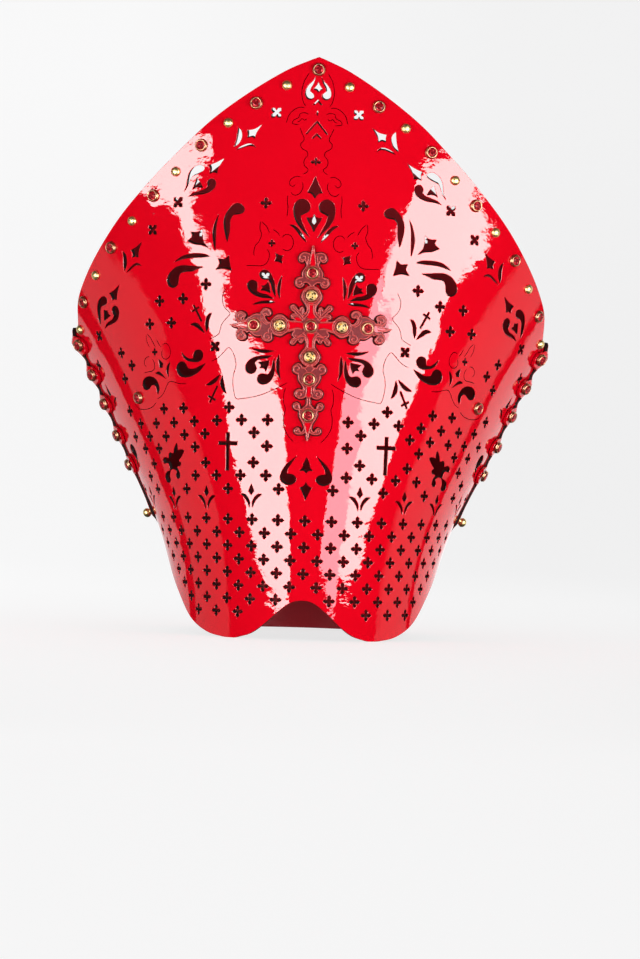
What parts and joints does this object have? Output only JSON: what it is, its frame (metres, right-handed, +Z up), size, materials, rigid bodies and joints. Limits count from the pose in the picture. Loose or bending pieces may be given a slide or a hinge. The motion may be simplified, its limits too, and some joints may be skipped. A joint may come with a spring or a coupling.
{
  "type": "bishop mitre",
  "caption": "Tall bishop's mitre of two curved, pierced leather panels with a pointed crown, a half mask below, and a jewelled cross on the front.",
  "frame": {"origin": "centre of the footprint, on the surface that the hat stands on", "axes": "+Z up to the crown's points, -Y out of the front panel, +X to the right of someone who faces the front"},
  "size_m": [0.3794, 0.2598, 0.439],
  "materials": {
    "patent_leather": "glossy patent",
    "tooled_leather": "satin, engraved",
    "brass": "polished",
    "red_stones": "faceted, in brass cups",
    "yellow_stones": "faceted, in brass cups"
  },
  "bodies": {
    "root": {"apex_stone": "red_stones", "back_panel": "patent_leather", "ball_stud_left": "brass", "ball_stud_right": "brass", "border_dome_left_1": "brass", "border_dome_left_11": "brass", "border_dome_left_3": "brass", "border_dome_left_5": "brass", "border_dome_left_7": "brass", "border_dome_left_9": "brass", "border_dome_right_1": "brass", "border_dome_right_11": "brass", "border_dome_right_3": "brass", "border_dome_right_5": "brass", "border_dome_right_7": "brass", "border_dome_right_9": "brass", "border_stone_left_10": "red_stones", "border_stone_left_2": "red_stones", "border_stone_left_4": "red_stones", "border_stone_left_6": "red_stones", "border_stone_left_8": "red_stones", "border_stone_right_10": "red_stones", "border_stone_right_2": "red_stones", "border_stone_right_4": "red_stones", "border_stone_right_6": "red_stones", "border_stone_right_8": "red_stones", "cross_overlay": "tooled_leather", "cross_stone_1": "red_stones", "cross_stone_3": "red_stones", "cross_stone_5": "red_stones", "cross_stone_6": "red_stones", "cross_stone_8_left": "red_stones", "cross_stone_8_right": "red_stones", "cross_yellow_2": "yellow_stones", "cross_yellow_4": "yellow_stones", "cross_yellow_7_left": "yellow_stones", "cross_yellow_7_right": "yellow_stones", "front_panel": "patent_leather", "seam_stone_left_1": "red_stones", "seam_stone_left_2": "red_stones", "seam_stone_left_3": "red_stones", "seam_stone_left_4": "red_stones", "seam_stone_left_5": "red_stones", "seam_stone_right_1": "red_stones", "seam_stone_right_2": "red_stones", "seam_stone_right_3": "red_stones", "seam_stone_right_4": "red_stones", "seam_stone_right_5": "red_stones", "side_stone_left": "red_stones", "side_stone_right": "red_stones"}
  },
  "joints": []
}
